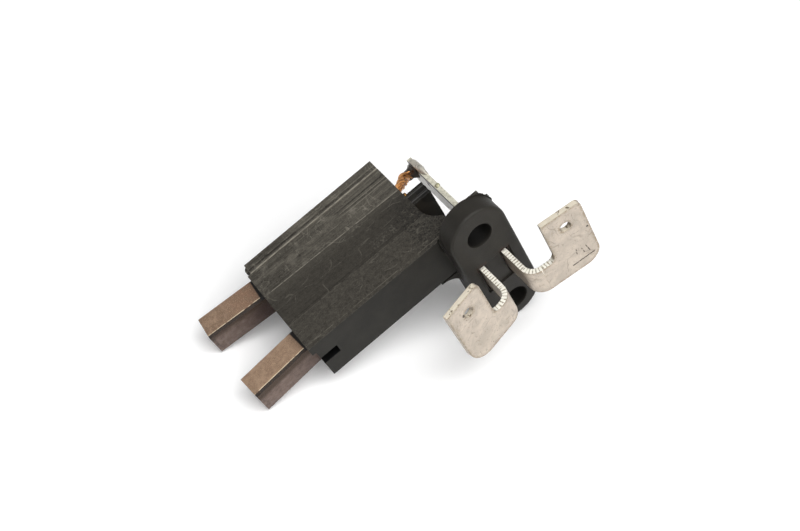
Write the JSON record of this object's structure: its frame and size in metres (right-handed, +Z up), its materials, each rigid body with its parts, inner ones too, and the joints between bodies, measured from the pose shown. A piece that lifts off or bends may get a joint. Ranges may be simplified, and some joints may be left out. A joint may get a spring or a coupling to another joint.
{
  "type": "twin carbon brush holder",
  "caption": "Pair of spring-loaded carbon brushes in a moulded holder with a two-hole flange and bent tab terminals.",
  "frame": {"origin": "midway between the two mounting holes, on the front face of the flange", "axes": "+X from the brushes towards the flange, +Y away from the terminals along the mounting holes, +Z up, square to the body's top face"},
  "size_m": [0.0497, 0.033, 0.0251],
  "materials": {
    "moulding": "scuffed black moulding compound with a sawn-looking top face",
    "brush": "speckled copper-graphite, brown on top and greyer on the sides",
    "tamping": "packed copper powder",
    "spring": "plain spring wire",
    "copper": "twisted bare copper strands",
    "tinned_sheet": "dull tinned sheet with bright sheared edges, fine scratches and a few dark specks",
    "solder": "dull grey solder with brown flux stain"
  },
  "bodies": {
    "holder": {"holder": "moulding", "spring_near": "spring", "spring_far": "spring", "lead_near": "copper", "lead_far": "copper", "terminal_inner": "tinned_sheet", "terminal_outer": "tinned_sheet", "solder_near": "solder", "solder_far": "solder"},
    "near_brush": {"brush_near": "brush", "tamping_near": "tamping"},
    "far_brush": {"brush_far": "brush", "tamping_far": "tamping"}
  },
  "joints": [
    {"name": "near_brush_slide", "type": "slide", "parent": "holder", "child": "near_brush", "axis": [0.9969, 0.0785, 0], "range_m": [0, 0.009], "stiffness_N_per_m": 60, "deforming": ["spring_near", "lead_near"]},
    {"name": "far_brush_slide", "type": "slide", "parent": "holder", "child": "far_brush", "axis": [0.9969, -0.0785, 0], "range_m": [0, 0.009], "stiffness_N_per_m": 60, "deforming": ["spring_far", "lead_far"]}
  ]
}
